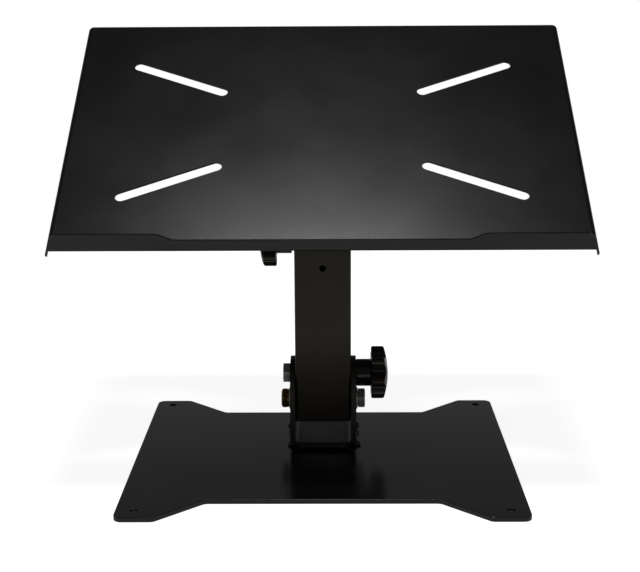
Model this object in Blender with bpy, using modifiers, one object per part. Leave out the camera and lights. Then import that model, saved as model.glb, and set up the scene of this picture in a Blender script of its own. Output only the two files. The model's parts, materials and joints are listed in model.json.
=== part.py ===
"""Standing desk converter: a tilting sheet-metal tray on a square mast that leans on a flat steel base.

Metres, +Z up, +X to the user's right, +Y away from the user. The origin is the centre of the base's
underside. The mast leans about the lower pivot and the tray tilts about the upper one; a star knob at
each joint clamps it through an arc slot.
"""

import math

import bmesh
import bpy
from mathutils import Matrix, Vector

MM = 0.001
GAP = 0.3 * MM              # running and fitting clearance between neighbouring pieces

# Base plate
BASE_WIDTH = 332 * MM
BASE_DEPTH = 280 * MM
BASE_THICKNESS = 4 * MM
EAR_INNER = 134 * MM        # half-distance where each ear's chamfer starts
WAIST_INNER = 96 * MM       # half-distance where the chamfer meets the straight waist
WAIST_DEPTH = 210 * MM
BASE_CORNER_RADIUS = 7 * MM
BASE_HOLE_X = 150.5 * MM
BASE_HOLE_Y = 127 * MM
BASE_HOLE_RADIUS = 3.5 * MM

# Mast
MAST_SIDE = 50 * MM
MAST_WALL = 3 * MM
MAST_CORNER = 3 * MM
MAST_LENGTH = 202 * MM
MAST_Y = 41 * MM
END_TO_PIVOT = 14.25 * MM
PIVOT_TO_CLAMP = 24.5 * MM
LOWER_PIVOT_Z = 41 * MM
PIVOT_SPAN = MAST_LENGTH - 2 * END_TO_PIVOT
MARK_HOLE_ABOVE_PIVOT = 128 * MM
MARK_HOLE_RADIUS = 2.8 * MM

# Base bracket
INNER_HALF = MAST_SIDE / 2 + GAP
BRACKET_PLATE = 4.5 * MM
BRACKET_DEPTH = 60 * MM
BRACKET_TOP_RADIUS = BRACKET_DEPTH / 2
BRACKET_TOP_CENTRE_Z = 50.4 * MM
BRACKET_BEND_INNER = 4 * MM
LEAN_LIMIT = math.radians(40)

# Tray: a folded sheet, described from its front edge (across u, back v, up out of the sheet n)
TRAY_WIDTH = 444 * MM
TRAY_DEPTH = 290 * MM
TRAY_SHEET = 1.6 * MM
TRAY_TILT = math.radians(35.6)
PIVOT_FROM_FRONT = 101.5 * MM
PIVOT_BELOW_TRAY = 61 * MM
FLANGE_DROP = 6.2 * MM
FLANGE_RETURN = 4 * MM
RETURN_NOTCH = 9 * MM
FLANGE_BEND = 4.3 * MM
FLANGE_EDGE = 1.7 * MM
TRAY_CORNER_RADIUS = 5 * MM
LIP_LEAN = math.radians(10)
LIP_HALF = 219 * MM
LIP_HIGH = 17 * MM
LIP_LOW = 11 * MM
LIP_END = 12.6 * MM
LIP_BEND = 3.1 * MM
LIP_LOW_HALF = 118 * MM
LIP_HIGH_HALF = 131 * MM
LIP_CHAMFER_HALF = 211.7 * MM
LIP_END_HALF = 216.8 * MM
LIP_FOOT_HALF = 223 * MM
LIP_ROUND = 6 * MM
SLOT_U = 128.5 * MM
SLOT_V = 65.75 * MM
SLOT_SPAN = 85 * MM
SLOT_RADIUS = 5 * MM
SLOT_ANGLE = math.radians(24.8)

# Tray bracket
EAR_SHEET = 2 * MM
EAR_RADIUS = 34 * MM
EAR_FRONT = 75 * MM
EAR_BACK = 185 * MM
EAR_BACK_DROP = 14 * MM
EAR_BEND_INNER = 2 * MM
TILT_LOWEST = math.radians(0)
TILT_HIGHEST = math.radians(60)

# M10 fasteners
SHANK_RADIUS = 5 * MM
HOLE_RADIUS = SHANK_RADIUS + GAP
HEX_FLATS = 17 * MM
HEX_TURN = math.radians(13)  # from a corner pointing straight up
HEAD_HEIGHT = 6.5 * MM
NUT_HEIGHT = 6.8 * MM
WASHER_RADIUS = 10 * MM
WASHER_THICKNESS = 1.2 * MM

# Star knob, measured along its axis from the hub's end
KNOB_LOBES = 7
KNOB_MEAN_RADIUS = 20.5 * MM
KNOB_LOBE = 3.8 * MM
HUB_RADIUS = 12.4 * MM
HUB_LENGTH = 13.5 * MM
KNOB_RIM = 11.4 * MM        # the lobes' thickness at their tips
KNOB_DOME = 4 * MM          # how far the face swells beyond the rim
KNOB_EDGE = 1.5 * MM
LOWER_KNOB_TURN = math.radians(-7)  # from a lobe pointing straight up
INSERT_RADIUS = 7.5 * MM
INSERT_LENGTH = 18 * MM
BOLT_PAST_HUB_END = 20 * MM

# Weld beads: thin runs that swell into lumps, placed from the start of the run
WELD_MARGIN = 1 * MM
WELD_LUMP = 2.2 * MM
WELD_NECK = 1.3 * MM
WELD_LUMP_HALF = 4 * MM
SIDE_LUMPS = (4.5 * MM, 36.3 * MM, 57 * MM)
END_LUMPS = (4 * MM, 15 * MM, 26 * MM, 38 * MM)
TRAY_LUMPS = (8 * MM, 36 * MM, 66 * MM, 98 * MM)
TRAY_WELD_LUMP = 1.5 * MM
TRAY_WELD_NECK = 1.1 * MM

BLACK_COAT = ((0.012, 0.012, 0.012), 0.42, 0.0)
BLACK_PLASTIC = ((0.008, 0.008, 0.009), 0.28, 0.0)
ZINC = ((0.62, 0.63, 0.64), 0.32, 1.0)
YELLOW_ZINC = ((0.62, 0.48, 0.20), 0.34, 1.0)
BRASS = ((0.60, 0.43, 0.16), 0.35, 1.0)

# Which way each local frame's axes go: an outline's own x, y and thickness
ALONG_X = Matrix(((0, 0, 1, 0), (1, 0, 0, 0), (0, 1, 0, 0), (0, 0, 0, 1)))
ALONG_Y = Matrix.Rotation(math.radians(90), 4, "X")
ALONG_Z = Matrix.Identity(4)


def clear_scene():
    for old in list(bpy.data.objects):
        bpy.data.objects.remove(old, do_unlink=True)


def make_collection(name):
    group = bpy.data.collections.new(name)
    bpy.context.scene.collection.children.link(group)
    return group


clear_scene()
PARTS = make_collection("standing_desk_converter")
CUTTERS = make_collection("cutters")
CUTTERS.hide_render = True


# ---------------------------------------------------------------- small tools

def coat(obj, finish):
    colour, roughness, metallic = finish
    material = bpy.data.materials.new(obj.name)
    material.use_nodes = True
    shader = material.node_tree.nodes["Principled BSDF"]
    shader.inputs["Base Color"].default_value = (*colour, 1)
    shader.inputs["Roughness"].default_value = roughness
    shader.inputs["Metallic"].default_value = metallic
    obj.data.materials.clear()
    obj.data.materials.append(material)


def put(obj, parent, location=(0, 0, 0)):
    obj.parent = parent
    obj.location = location
    return obj


def empty(name, parent=None, location=(0, 0, 0), rotation=(0, 0, 0)):
    axis = bpy.data.objects.new(name, None)
    axis.empty_display_size = 0.02
    axis.rotation_euler = rotation
    PARTS.objects.link(axis)
    return put(axis, parent, location)


def new_object(name, mesh, finish=None):
    """A part where a finish is given, a hidden helper where it isn't."""
    obj = bpy.data.objects.new(name, mesh)
    if finish is None:
        CUTTERS.objects.link(obj)
        obj.hide_render = True
        obj.display_type = "WIRE"
    else:
        PARTS.objects.link(obj)
        coat(obj, finish)
        mesh.shade_smooth()
        mesh.set_sharp_from_angle(angle=math.radians(35))
    return obj


def boolean(obj, helper, operation="DIFFERENCE"):
    step = obj.modifiers.new(helper.name, "BOOLEAN")
    step.operation = operation
    step.solver = "EXACT"
    step.object = helper


def outline_mesh(name, loops, thickness, direction):
    """Closed outlines, the first the rim and the others holes, filled and thickened evenly both ways."""
    curve = bpy.data.curves.new(name, "CURVE")
    curve.dimensions = "2D"
    curve.fill_mode = "BOTH"
    curve.extrude = thickness / 2
    for loop in loops:
        spline = curve.splines.new("POLY")
        spline.points.add(len(loop) - 1)
        for point, (x, y) in zip(spline.points, loop):
            point.co = (x, y, 0, 1)
        spline.use_cyclic_u = True
    flat = bpy.data.objects.new(name, curve)
    bpy.context.scene.collection.objects.link(flat)
    bpy.context.view_layer.update()
    graph = bpy.context.evaluated_depsgraph_get()
    mesh = bpy.data.meshes.new_from_object(flat.evaluated_get(graph))
    bpy.data.objects.remove(flat, do_unlink=True)
    bpy.data.curves.remove(curve)
    mesh.name = name
    mesh.materials.clear()
    shape = bmesh.new()
    shape.from_mesh(mesh)
    bmesh.ops.remove_doubles(shape, verts=shape.verts, dist=1e-6)
    shape.transform(direction)
    shape.to_mesh(mesh)
    shape.free()
    return mesh


def block_mesh(name, low, high, bevels=()):
    """A box between two corners. Each bevel is (which edges, radius, segments), in turn."""
    shape = bmesh.new()
    size = Vector(high) - Vector(low)
    place = Matrix.Translation((Vector(high) + Vector(low)) / 2) @ Matrix.Diagonal((*size, 1))
    bmesh.ops.create_cube(shape, size=1, matrix=place)
    for wanted, radius, segments in bevels:
        edges = [edge for edge in shape.edges if wanted(*(vert.co for vert in edge.verts))]
        bmesh.ops.bevel(shape, geom=edges, offset=radius, segments=segments, profile=0.5,
                        affect="EDGES", clamp_overlap=False)
    mesh = bpy.data.meshes.new(name)
    shape.to_mesh(mesh)
    shape.free()
    return mesh


def rod_mesh(name, radius, start, end, sides=24, direction=ALONG_X):
    """A straight round or polygonal bar from start to end along one axis."""
    middle = Matrix.Translation((0, 0, (start + end) / 2))
    shape = bmesh.new()
    bmesh.ops.create_cone(shape, cap_ends=True, segments=sides, radius1=radius, radius2=radius,
                          depth=abs(end - start), matrix=direction @ middle)
    mesh = bpy.data.meshes.new(name)
    shape.to_mesh(mesh)
    shape.free()
    return mesh


def turned(name, profile, finish=None, steps=32):
    """A profile of (radius, distance along X), from its far end down the outer side, turned about X."""
    mesh = bpy.data.meshes.new(name)
    count = len(profile)
    on_axis = profile[0][0] == 0 and profile[-1][0] == 0
    edges = [(i, i + 1) for i in range(count - 1)] + ([] if on_axis else [(count - 1, 0)])
    mesh.from_pydata([(radius, 0, along) for radius, along in profile], edges, [])
    obj = new_object(name, mesh, finish)
    obj.rotation_euler = (0, math.radians(90), 0)
    screw = obj.modifiers.new("turn", "SCREW")
    screw.steps = steps
    screw.render_steps = steps
    screw.use_merge_vertices = True
    screw.merge_threshold = 1e-5
    return obj


def arc(centre, radius, start, end, steps):
    """Points on a circle, angles in radians."""
    return [(centre[0] + radius * math.cos(start + (end - start) * i / steps),
             centre[1] + radius * math.sin(start + (end - start) * i / steps)) for i in range(steps + 1)]


def rounded(corners, steps=5):
    """An outline through (x, y, radius) corners, each corner a true arc where it has a radius."""
    points = []
    for i, (x, y, radius) in enumerate(corners):
        here = Vector((x, y))
        if radius == 0:
            points.append((x, y))
            continue
        before = (Vector(corners[i - 1][:2]) - here).normalized()
        after = (Vector(corners[(i + 1) % len(corners)][:2]) - here).normalized()
        half = before.angle(after) / 2
        centre = here + (before + after).normalized() * (radius / math.sin(half))
        first = here + before * (radius / math.tan(half)) - centre
        last = here + after * (radius / math.tan(half)) - centre
        start = math.atan2(first.y, first.x)
        sweep = math.remainder(math.atan2(last.y, last.x) - start, 2 * math.pi)
        points += arc(centre, radius, start, start + sweep, steps)
    return points


def round_slot(span, radius, steps=8):
    """A straight slot along x with round ends; span joins the ends' centres."""
    right = arc((span / 2, 0), radius, -math.pi / 2, math.pi / 2, steps)
    return right + [(-x, -y) for x, y in right]


def arc_slot(centre, bend, radius, start, end, steps=12):
    """A slot of constant width bent about a centre, with round ends."""
    outer = arc(centre, bend + radius, start, end, steps)
    inner = arc(centre, bend - radius, end, start, steps)
    last = (centre[0] + bend * math.cos(end), centre[1] + bend * math.sin(end))
    first = (centre[0] + bend * math.cos(start), centre[1] + bend * math.sin(start))
    return (outer + arc(last, radius, end, end + math.pi, 8)[1:-1]
            + inner + arc(first, radius, start + math.pi, start + 2 * math.pi, 8)[1:-1])


# ---------------------------------------------------------------- base

def build_base_plate():
    """Four ears with holes; the waists between them are chamfered back at front and rear."""
    x, y = BASE_WIDTH / 2, BASE_DEPTH / 2
    quarter = [(x, y, BASE_CORNER_RADIUS), (EAR_INNER, y, BASE_CORNER_RADIUS),
               (WAIST_INNER, WAIST_DEPTH / 2, BASE_CORNER_RADIUS)]
    left_back = [(-a, b, r) for a, b, r in reversed(quarter)]
    left_front = [(-a, -b, r) for a, b, r in quarter]
    right_front = [(a, -b, r) for a, b, r in reversed(quarter)]
    rim = rounded(quarter + left_back + left_front + right_front)
    holes = [arc((sx * BASE_HOLE_X, sy * BASE_HOLE_Y), BASE_HOLE_RADIUS, 0, 2 * math.pi, 20)[:-1]
             for sx in (1, -1) for sy in (1, -1)]
    mesh = outline_mesh("base_plate", [rim, *holes], BASE_THICKNESS, ALONG_Z)
    plate = new_object("base_plate", mesh, BLACK_COAT)
    plate.location.z = BASE_THICKNESS / 2


def channel_outline(inner_half, plate, height, bend_inner):
    """A U seen along its length, its web's outer face at y = 0 and its walls going up."""
    outer = inner_half + plate
    return rounded([(outer, 0, bend_inner + plate), (outer, height, 0), (inner_half, height, 0),
                    (inner_half, plate, bend_inner), (-inner_half, plate, bend_inner),
                    (-inner_half, height, 0), (-outer, height, 0), (-outer, 0, bend_inner + plate)])


def build_base_bracket():
    """A bent U, its walls rounded at the top, drilled for the pivot and slotted for the clamp."""
    foot = BASE_THICKNESS + GAP
    height = BRACKET_TOP_CENTRE_Z + BRACKET_TOP_RADIUS - foot
    section = channel_outline(INNER_HALF, BRACKET_PLATE, height + GAP, BRACKET_BEND_INNER)
    bracket = new_object("base_bracket", outline_mesh("base_bracket", [section], BRACKET_DEPTH, ALONG_Y),
                         BLACK_COAT)
    bracket.location = (0, MAST_Y, foot)
    half = BRACKET_DEPTH / 2
    side = ([(-half, -foot), (half, -foot)]
            + arc((0, BRACKET_TOP_CENTRE_Z - foot), BRACKET_TOP_RADIUS, 0, math.pi, 24))
    wide = 3 * MAST_SIDE
    shape = new_object("bracket_side_shape", outline_mesh("bracket_side_shape", [side], wide, ALONG_X))
    hole = new_object("bracket_pivot_hole", rod_mesh("bracket_pivot_hole", HOLE_RADIUS, -wide, wide))
    reach = LEAN_LIMIT + math.radians(1)
    bend = arc_slot((0, 0), PIVOT_TO_CLAMP, HOLE_RADIUS, math.pi / 2 - reach, math.pi / 2 + reach)
    slot = new_object("bracket_clamp_slot", outline_mesh("bracket_clamp_slot", [bend], wide, ALONG_X))
    put(shape, None, (0, MAST_Y, foot))
    put(hole, None, (0, MAST_Y, LOWER_PIVOT_Z))
    put(slot, None, (0, MAST_Y, LOWER_PIVOT_Z))
    boolean(bracket, shape, "INTERSECT")
    boolean(bracket, hole)
    boolean(bracket, slot)


def weld_bead(name, start, end, lump, neck, lumps, parent=None):
    """A run of weld: a bar from start to end whose thickness swells at each lump."""
    curve = bpy.data.curves.new(name, "CURVE")
    curve.dimensions = "3D"
    curve.bevel_depth = lump
    curve.bevel_resolution = 3
    curve.use_fill_caps = True
    spline = curve.splines.new("POLY")
    length = (Vector(end) - Vector(start)).length
    count = round(length / (WELD_LUMP_HALF / 2)) + 1
    spline.points.add(count - 1)
    for i, point in enumerate(spline.points):
        along = i / (count - 1)
        nearest = min(abs(along * length - place) for place in lumps)
        swell = max(0, math.cos(math.pi / 2 * min(1, nearest / WELD_LUMP_HALF)))
        point.co = (*Vector(start).lerp(Vector(end), along), 1)
        point.radius = (neck + (lump - neck) * swell) / lump
    bead = bpy.data.objects.new(name, curve)
    PARTS.objects.link(bead)
    coat(bead, BLACK_COAT)
    return put(bead, parent)


def bead_beside_bend(bend_centre, bend_radius, radius):
    """How far beyond a bend's centre a bead sits when it touches the bend and the sheet below it."""
    drop = bend_centre - radius
    return math.sqrt((bend_radius + GAP + radius) ** 2 - drop ** 2)


def build_base_welds():
    foot = BASE_THICKNESS + GAP
    bend = BRACKET_BEND_INNER + BRACKET_PLATE
    x = INNER_HALF + BRACKET_PLATE - bend + bead_beside_bend(bend, bend, WELD_LUMP)
    z = foot + WELD_LUMP
    half = BRACKET_DEPTH / 2
    for side, name in ((-1, "left"), (1, "right")):
        weld_bead("base_weld_" + name, (side * x, MAST_Y - half + WELD_MARGIN, z),
                  (side * x, MAST_Y + half - WELD_MARGIN, z), WELD_LUMP, WELD_NECK, SIDE_LUMPS)
    reach = INNER_HALF + BRACKET_PLATE - bend
    for side, name in ((-1, "front"), (1, "rear")):
        y = MAST_Y + side * (half + GAP + WELD_LUMP)
        weld_bead("base_weld_" + name, (-reach, y, z), (reach, y, z), WELD_LUMP, WELD_NECK, END_LUMPS)


# ---------------------------------------------------------------- mast

def upright(a, b):
    return abs(a.x - b.x) < 1e-6 and abs(a.y - b.y) < 1e-6


def square_bar(name, half, length, radius):
    return block_mesh(name, (-half, -half, -length / 2), (half, half, length / 2), ((upright, radius, 4),))


def build_mast(axis):
    """Square tube, cross-drilled for a pivot and a clamp at each end, with one small hole in front."""
    half = MAST_SIDE / 2
    mast = new_object("mast_tube", square_bar("mast_tube", half, MAST_LENGTH, MAST_CORNER), BLACK_COAT)
    inside = square_bar("mast_inside", half - MAST_WALL, MAST_LENGTH + MAST_SIDE, MAST_CORNER / 3)
    boolean(mast, put(new_object("mast_inside", inside), axis, (0, 0, PIVOT_SPAN / 2)))
    put(mast, axis, (0, 0, PIVOT_SPAN / 2))
    for height in (0, PIVOT_TO_CLAMP, PIVOT_SPAN - PIVOT_TO_CLAMP, PIVOT_SPAN):
        name = f"mast_hole_{round(height / MM)}"
        hole = new_object(name, rod_mesh(name, HOLE_RADIUS, -MAST_SIDE, MAST_SIDE))
        boolean(mast, put(hole, axis, (0, 0, height)))
    small = new_object("mast_front_hole", rod_mesh("mast_front_hole", MARK_HOLE_RADIUS, MAST_SIDE / 4,
                                                   MAST_SIDE, 20, ALONG_Y))
    boolean(mast, put(small, axis, (0, 0, MARK_HOLE_ABOVE_PIVOT)))


# ---------------------------------------------------------------- tray and its bracket

def on_sides_and_back(level, depth):
    """Picks the edges of a box at one height, apart from those on its open front."""
    def wanted(a, b):
        flat = abs(a.z - level) < 1e-6 and abs(b.z - level) < 1e-6
        in_front = a.y < depth / 4 and b.y < depth / 4
        return flat and not in_front
    return wanted


def upright_at_back(depth):
    def wanted(a, b):
        return a.y > depth / 2 and b.y > depth / 2 and abs(a.z - b.z) > 1e-6 and abs(a.x - b.x) < 1e-6
    return wanted


def build_tray(axis):
    """Flat sheet, its sides and rear turned down with a small inward return, its front turned up."""
    corner = (0, -PIVOT_FROM_FRONT, PIVOT_BELOW_TRAY)
    half = TRAY_WIDTH / 2
    before = -10 * MM
    pan = block_mesh("tray", (-half, 0, -FLANGE_DROP), (half, TRAY_DEPTH, 0), (
        (upright_at_back(TRAY_DEPTH), TRAY_CORNER_RADIUS, 5),
        (on_sides_and_back(0, TRAY_DEPTH), FLANGE_BEND, 5),
        (on_sides_and_back(-FLANGE_DROP, TRAY_DEPTH), FLANGE_EDGE, 3)))
    tray = new_object("tray", pan, BLACK_COAT)
    put(tray, axis, corner)
    inner = half - TRAY_SHEET
    back = TRAY_DEPTH - TRAY_SHEET
    lowest = -2 * FLANGE_DROP
    hollow = block_mesh(
        "tray_hollow", (-inner, before, TRAY_SHEET - FLANGE_DROP), (inner, back, -TRAY_SHEET),
        ((upright_at_back(back), TRAY_CORNER_RADIUS - TRAY_SHEET, 5),
         (on_sides_and_back(-TRAY_SHEET, back), FLANGE_BEND - TRAY_SHEET, 5)))
    notch = block_mesh("tray_return_notch", (-inner, before, lowest), (inner, RETURN_NOTCH, -FLANGE_DROP / 2))
    inner -= FLANGE_RETURN
    back -= FLANGE_RETURN
    under = block_mesh(
        "tray_underside", (-inner, before, lowest), (inner, back, -FLANGE_DROP / 2),
        ((upright_at_back(back), TRAY_CORNER_RADIUS / 2, 4),))
    relief = LIP_HALF + TRAY_SHEET / 3
    trim = block_mesh("tray_front_trim", (-relief, before, -2 * TRAY_SHEET), (relief, LIP_BEND, FLANGE_DROP))
    for mesh in (hollow, notch, under, trim):
        boolean(tray, put(new_object(mesh.name, mesh), axis, corner))
    boolean(tray, build_lip(axis, corner), "UNION")
    for side_u in (-1, 1):
        for side_v in (-1, 1):
            name = f"tray_slot_{side_u}_{side_v}"
            slot = new_object(name, outline_mesh(name, [round_slot(SLOT_SPAN, SLOT_RADIUS)], 10 * TRAY_SHEET,
                                                 ALONG_Z))
            place = (side_u * SLOT_U, corner[1] + TRAY_DEPTH / 2 + side_v * SLOT_V, corner[2])
            put(slot, axis, place).rotation_euler.z = side_u * side_v * SLOT_ANGLE
            boolean(tray, slot)


def build_lip(axis, corner):
    """The stop along the front edge: leaning back over the sheet, its top cut low in the middle."""
    centre = Vector((LIP_BEND, LIP_BEND - TRAY_SHEET))
    inner_bend = LIP_BEND - TRAY_SHEET
    outside = arc(centre, LIP_BEND, -math.pi / 2, -math.pi - LIP_LEAN, 6)
    inside = arc(centre, inner_bend, -math.pi - LIP_LEAN, -math.pi / 2, 6)
    rise = Vector((math.sin(LIP_LEAN), math.cos(LIP_LEAN))) * (LIP_HIGH + LIP_BEND)
    tops = [tuple(Vector(foot) + rise) for foot in (outside[-1], inside[0])]
    leg = 2 * LIP_BEND
    section = [(leg, -TRAY_SHEET)] + outside + tops + inside + [(leg, 0)]
    lip = new_object("lip", outline_mesh("lip", [section], 2 * LIP_HALF, ALONG_X))
    right = [(LIP_LOW_HALF, LIP_LOW, LIP_ROUND), (LIP_HIGH_HALF, LIP_HIGH, LIP_ROUND),
             (LIP_CHAMFER_HALF, LIP_HIGH, LIP_ROUND / 2), (LIP_END_HALF, LIP_END, LIP_ROUND / 2)]
    left = [(-u, n, r) for u, n, r in reversed(right)]
    foot = [(-LIP_FOOT_HALF, -FLANGE_DROP, 0), (LIP_FOOT_HALF, -FLANGE_DROP, 0)]
    top = rounded([*reversed(right), *reversed(left), *foot])
    mesh = outline_mesh("lip_top_shape", [top], 8 * LIP_BEND, ALONG_Y)
    mesh.transform(Matrix.Rotation(-LIP_LEAN, 4, "X"))
    boolean(lip, put(new_object(mesh.name, mesh), axis, corner), "INTERSECT")
    return put(lip, axis, corner)


def build_tray_bracket(axis):
    """An inverted U under the tray. Its ears reach forward and down to the pivot at this frame's origin."""
    top = PIVOT_BELOW_TRAY - TRAY_SHEET - GAP
    front, back = EAR_FRONT - PIVOT_FROM_FRONT, EAR_BACK - PIVOT_FROM_FRONT
    section = channel_outline(INNER_HALF, EAR_SHEET, top + 2 * EAR_RADIUS, EAR_BEND_INNER)
    length = 2 * (abs(front) + abs(back))
    turned_over = Matrix.Rotation(math.pi, 4, "Y") @ ALONG_Y
    bracket = new_object("tray_bracket", outline_mesh("tray_bracket", [section], length, turned_over),
                         BLACK_COAT)
    put(bracket, axis, (0, 0, top))
    knee = (back, top - EAR_BACK_DROP)
    distance = math.hypot(*knee)
    lower = math.atan2(knee[1], knee[0]) - math.acos(EAR_RADIUS / distance)
    front_distance = math.hypot(front, top)
    upper = math.atan2(top, front) + math.acos(EAR_RADIUS / front_distance)
    ear = [(front, top), (back, top), knee] + arc((0, 0), EAR_RADIUS, lower, upper - 2 * math.pi, 24)
    wide = 3 * MAST_SIDE
    shape = new_object("ear_shape", outline_mesh("ear_shape", [ear], wide, ALONG_X))
    hole = new_object("ear_pivot_hole", rod_mesh("ear_pivot_hole", HOLE_RADIUS, -wide, wide))
    over = math.radians(1)
    down = -math.pi / 2
    bend = arc_slot((0, 0), PIVOT_TO_CLAMP, HOLE_RADIUS,
                    down - TILT_HIGHEST - over, down - TILT_LOWEST + over)
    slot = new_object("ear_clamp_slot", outline_mesh("ear_clamp_slot", [bend], wide, ALONG_X))
    boolean(bracket, put(shape, axis), "INTERSECT")
    boolean(bracket, put(hole, axis))
    boolean(bracket, put(slot, axis))


def build_tray_welds(axis):
    top = PIVOT_BELOW_TRAY - TRAY_SHEET - GAP
    bend = EAR_BEND_INNER + EAR_SHEET
    x = INNER_HALF + EAR_SHEET - bend + bead_beside_bend(bend, bend, TRAY_WELD_LUMP)
    start = EAR_FRONT - PIVOT_FROM_FRONT + WELD_MARGIN
    end = EAR_BACK - PIVOT_FROM_FRONT - WELD_MARGIN
    for side, name in ((-1, "left"), (1, "right")):
        weld_bead("tray_weld_" + name, (side * x, start, top - TRAY_WELD_LUMP),
                  (side * x, end, top - TRAY_WELD_LUMP), TRAY_WELD_LUMP, TRAY_WELD_NECK, TRAY_LUMPS,
                  axis)


# ---------------------------------------------------------------- fasteners, along +X

def hex_piece(name, start, end, finish):
    """A hexagon from its bearing face to its outer face, and the turned shape that chamfers its corners."""
    flat = HEX_FLATS / 2
    corner = flat / math.cos(math.pi / 6)
    beyond = corner + MM
    side = 1 if end > start else -1
    slope = side * (beyond - flat) * math.tan(math.pi / 6)
    bearing = start - side * GAP
    profile = [(0, end), (flat, end), (beyond, end - slope), (beyond, bearing), (0, bearing)]
    hexagon = rod_mesh(name, corner, start, end, 6)
    hexagon.transform(Matrix.Rotation(HEX_TURN, 4, "X"))
    piece = new_object(name, hexagon, finish)
    return piece, turned(name + "_chamfer", profile[::side], steps=36)


def build_bolt(name, parent, offset, face, length, head_side):
    """A hex bolt whose head bears on the plane at face and whose shank runs to the other side."""
    start = head_side * face
    piece, chamfer = hex_piece(name, start, start + head_side * HEAD_HEIGHT, ZINC)
    tip = start - head_side * length
    shank = new_object(name + "_shank", rod_mesh(name + "_shank", SHANK_RADIUS, start + head_side * MM, tip))
    put(piece, parent, offset)
    boolean(piece, put(chamfer, parent, offset), "INTERSECT")
    boolean(piece, put(shank, parent, offset), "UNION")


def build_nut(name, parent, offset, face, side, finish):
    piece, chamfer = hex_piece(name, side * face, side * (face + NUT_HEIGHT), finish)
    bore = new_object(name + "_bore", rod_mesh(name + "_bore", HOLE_RADIUS, -MAST_SIDE, MAST_SIDE))
    put(piece, parent, offset)
    boolean(piece, put(chamfer, parent, offset), "INTERSECT")
    boolean(piece, put(bore, parent, offset))


def build_washer(name, parent, offset, face, side):
    near, far = sorted((side * face, side * (face + WASHER_THICKNESS)))
    profile = [(HOLE_RADIUS, far), (WASHER_RADIUS, far), (WASHER_RADIUS, near), (HOLE_RADIUS, near)]
    put(turned(name, profile, ZINC, 36), parent, offset)


def build_pivot_set(prefix, parent, offset, outer_half, head_side, length, nut_finish):
    """Bolt, washer each side and lock nut on the axis that a joint turns on."""
    washer_face = outer_half + GAP
    hex_face = washer_face + WASHER_THICKNESS + GAP
    build_bolt(prefix + "_pivot_bolt", parent, offset, hex_face, length, head_side)
    build_washer(prefix + "_pivot_washer_head", parent, offset, washer_face, head_side)
    build_washer(prefix + "_pivot_washer_nut", parent, offset, washer_face, -head_side)
    build_nut(prefix + "_pivot_nut", parent, offset, hex_face, -head_side, nut_finish)


# ---------------------------------------------------------------- knobs

def knob_outline():
    """Seven round lobes, the first one pointing along the outline's own +y."""
    outline = []
    for i in range(8 * KNOB_LOBES):
        angle = math.pi / 2 + 2 * math.pi * i / (8 * KNOB_LOBES)
        radius = KNOB_MEAN_RADIUS + KNOB_LOBE * math.cos(KNOB_LOBES * (angle - math.pi / 2))
        outline.append((radius * math.cos(angle), radius * math.sin(angle)))
    return outline


def knob_cap_profile():
    """The domed face out to the lobes' tips, then a rounded edge back to the hub's side."""
    tip = KNOB_MEAN_RADIUS + KNOB_LOBE + GAP
    rim = HUB_LENGTH + KNOB_RIM
    dome = [(tip * i / 6, rim + KNOB_DOME * (1 - (i / 6) ** 2)) for i in range(6)]
    front = arc((tip - KNOB_EDGE, rim - KNOB_EDGE), KNOB_EDGE, math.pi / 2, 0, 3)
    rear = arc((tip - KNOB_EDGE, HUB_LENGTH + KNOB_EDGE), KNOB_EDGE, 0, -math.pi / 2, 3)
    return dome + front + rear + [(0, HUB_LENGTH)]


def build_knob(prefix, axis, hub_end):
    """Star head and hub in one moulding, bored from the hub's end for the insert and the bolt's tip."""
    name = prefix + "_knob"
    star = outline_mesh(name, [knob_outline()], 2 * (KNOB_RIM + KNOB_DOME), ALONG_X)
    star.transform(Matrix.Translation((HUB_LENGTH + KNOB_RIM / 2, 0, 0)))
    knob = new_object(name, star, BLACK_PLASTIC)
    cap = turned(name + "_cap", knob_cap_profile(), steps=60)
    hub = new_object(name + "_hub", rod_mesh(name + "_hub", HUB_RADIUS, 0, HUB_LENGTH + KNOB_RIM / 2, 40))
    pocket = new_object(name + "_pocket", rod_mesh(name + "_pocket", INSERT_RADIUS + GAP, -GAP,
                                                   INSERT_LENGTH + GAP, 32))
    tip = new_object(name + "_tip_hole", rod_mesh(name + "_tip_hole", HOLE_RADIUS, 0,
                                                  BOLT_PAST_HUB_END + 2 * GAP))
    place = (hub_end, 0, 0)
    put(knob, axis, place)
    for helper, operation in ((cap, "INTERSECT"), (hub, "UNION"),
                              (pocket, "DIFFERENCE"), (tip, "DIFFERENCE")):
        boolean(knob, put(helper, axis, place), operation)
    bush = [(HOLE_RADIUS, INSERT_LENGTH), (INSERT_RADIUS, INSERT_LENGTH),
            (INSERT_RADIUS, 0), (HOLE_RADIUS, 0)]
    put(turned(prefix + "_knob_insert", bush, BRASS, 32), axis, place)


# ---------------------------------------------------------------- the whole object

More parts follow.
